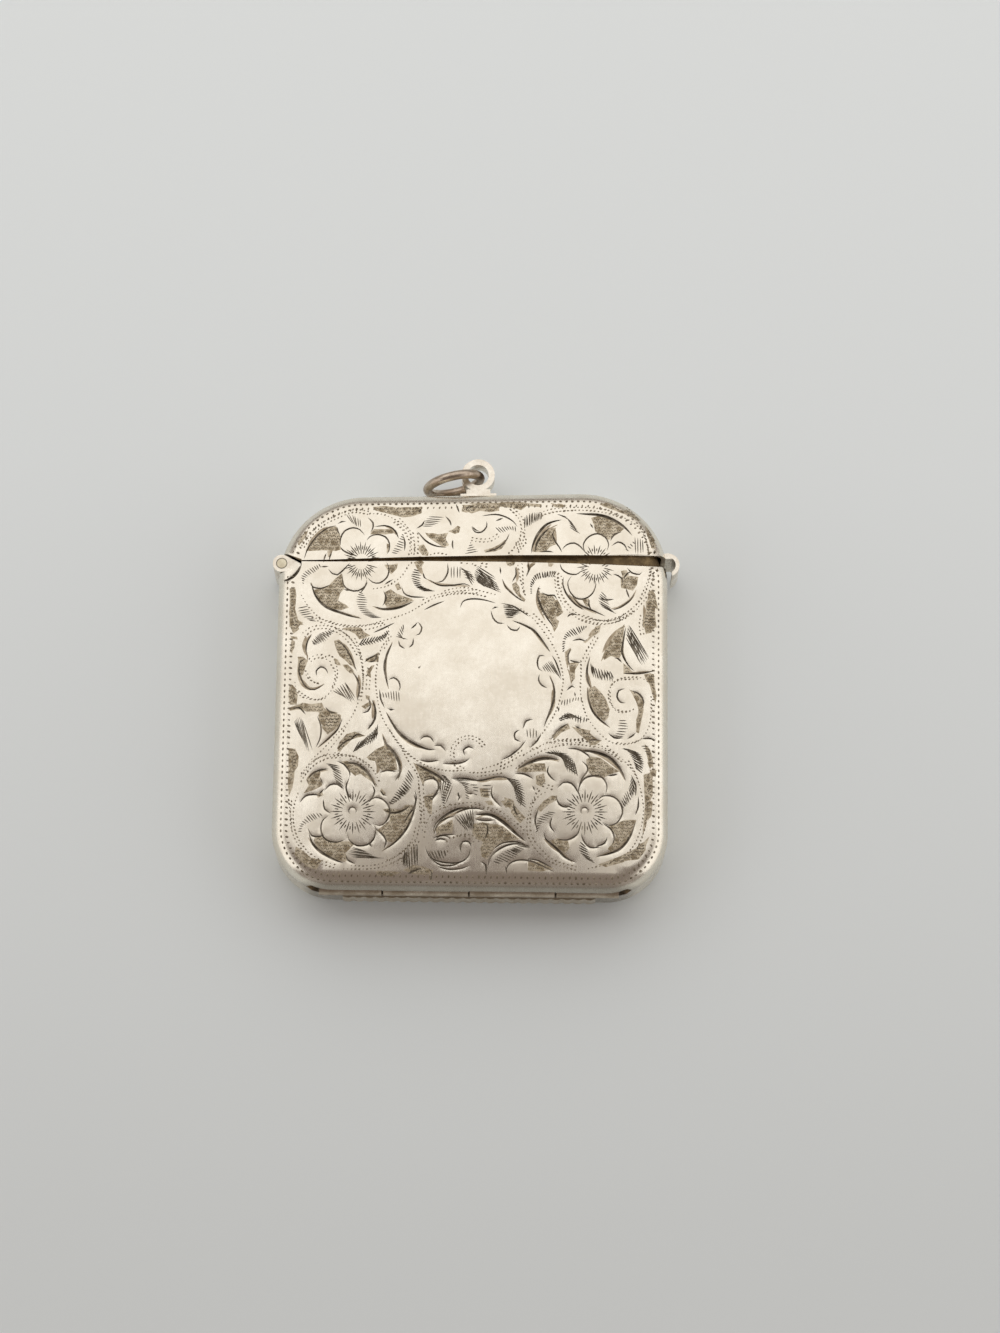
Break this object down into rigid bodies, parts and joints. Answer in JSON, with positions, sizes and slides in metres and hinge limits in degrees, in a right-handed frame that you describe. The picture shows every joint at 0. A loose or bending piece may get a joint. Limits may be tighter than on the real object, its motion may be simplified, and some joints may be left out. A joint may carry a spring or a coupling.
{
  "type": "vesta case",
  "caption": "Pocket match case in engraved silver with a side-hinged lid, a front cover hinged along the base, a ribbed striker and a loop with a jump ring.",
  "frame": {"origin": "middle of the flat back, on which the case lies", "axes": "+X across the face away from the lid's hinge, +Y from the base to the loop, +Z out of the engraved face"},
  "size_m": [0.0471, 0.0525, 0.01],
  "materials": {
    "engraved_silver": "bright-cut engraved silver with dark residue in the cuts",
    "polished_silver": "polished silver, rubbed by use",
    "gilt_silver": "thin gilding, satin",
    "nickel_pin": "drawn nickel-silver wire, cut and filed",
    "striker_silver": "file-cut ribs, dulled by striking",
    "spring_steel": "blued spring steel",
    "tarnished_silver": "drawn wire, brown-grey tarnish"
  },
  "bodies": {
    "case": {"back_shell": "engraved_silver", "mouth_collar": "gilt_silver", "partition_plate": "gilt_silver", "cover_rim_strips": "gilt_silver", "striker_strip": "striker_silver", "base_hinge_case_knuckles": "engraved_silver", "base_hinge_pin": "nickel_pin", "lid_hinge_case_knuckles": "polished_silver", "lid_hinge_pin": "nickel_pin", "lid_spring": "spring_steel"},
    "lid": {"lid_shell": "engraved_silver", "lid_hinge_knuckle": "polished_silver", "thumb_piece": "polished_silver", "loop_foot": "polished_silver", "suspension_loop": "polished_silver"},
    "cover": {"front_cover": "engraved_silver", "base_hinge_cover_knuckles": "engraved_silver"},
    "ring": {"jump_ring": "tarnished_silver"}
  },
  "joints": [
    {"name": "lid_hinge", "type": "hinge", "parent": "case", "child": "lid", "pos_m": [-0.0222, 0.01515, 0.00435], "axis": [0, 0, 1], "range_deg": [-1.6, 105]},
    {"name": "cover_hinge", "type": "hinge", "parent": "case", "child": "cover", "pos_m": [0, -0.02265, 0.006], "axis": [1, 0, 0], "range_deg": [0, 105]},
    {"name": "ring_swing", "type": "hinge", "parent": "lid", "child": "ring", "pos_m": [0.00038, 0.02694, 0.00425], "axis": [0, 0, 1], "range_deg": [-204, 6]}
  ]
}
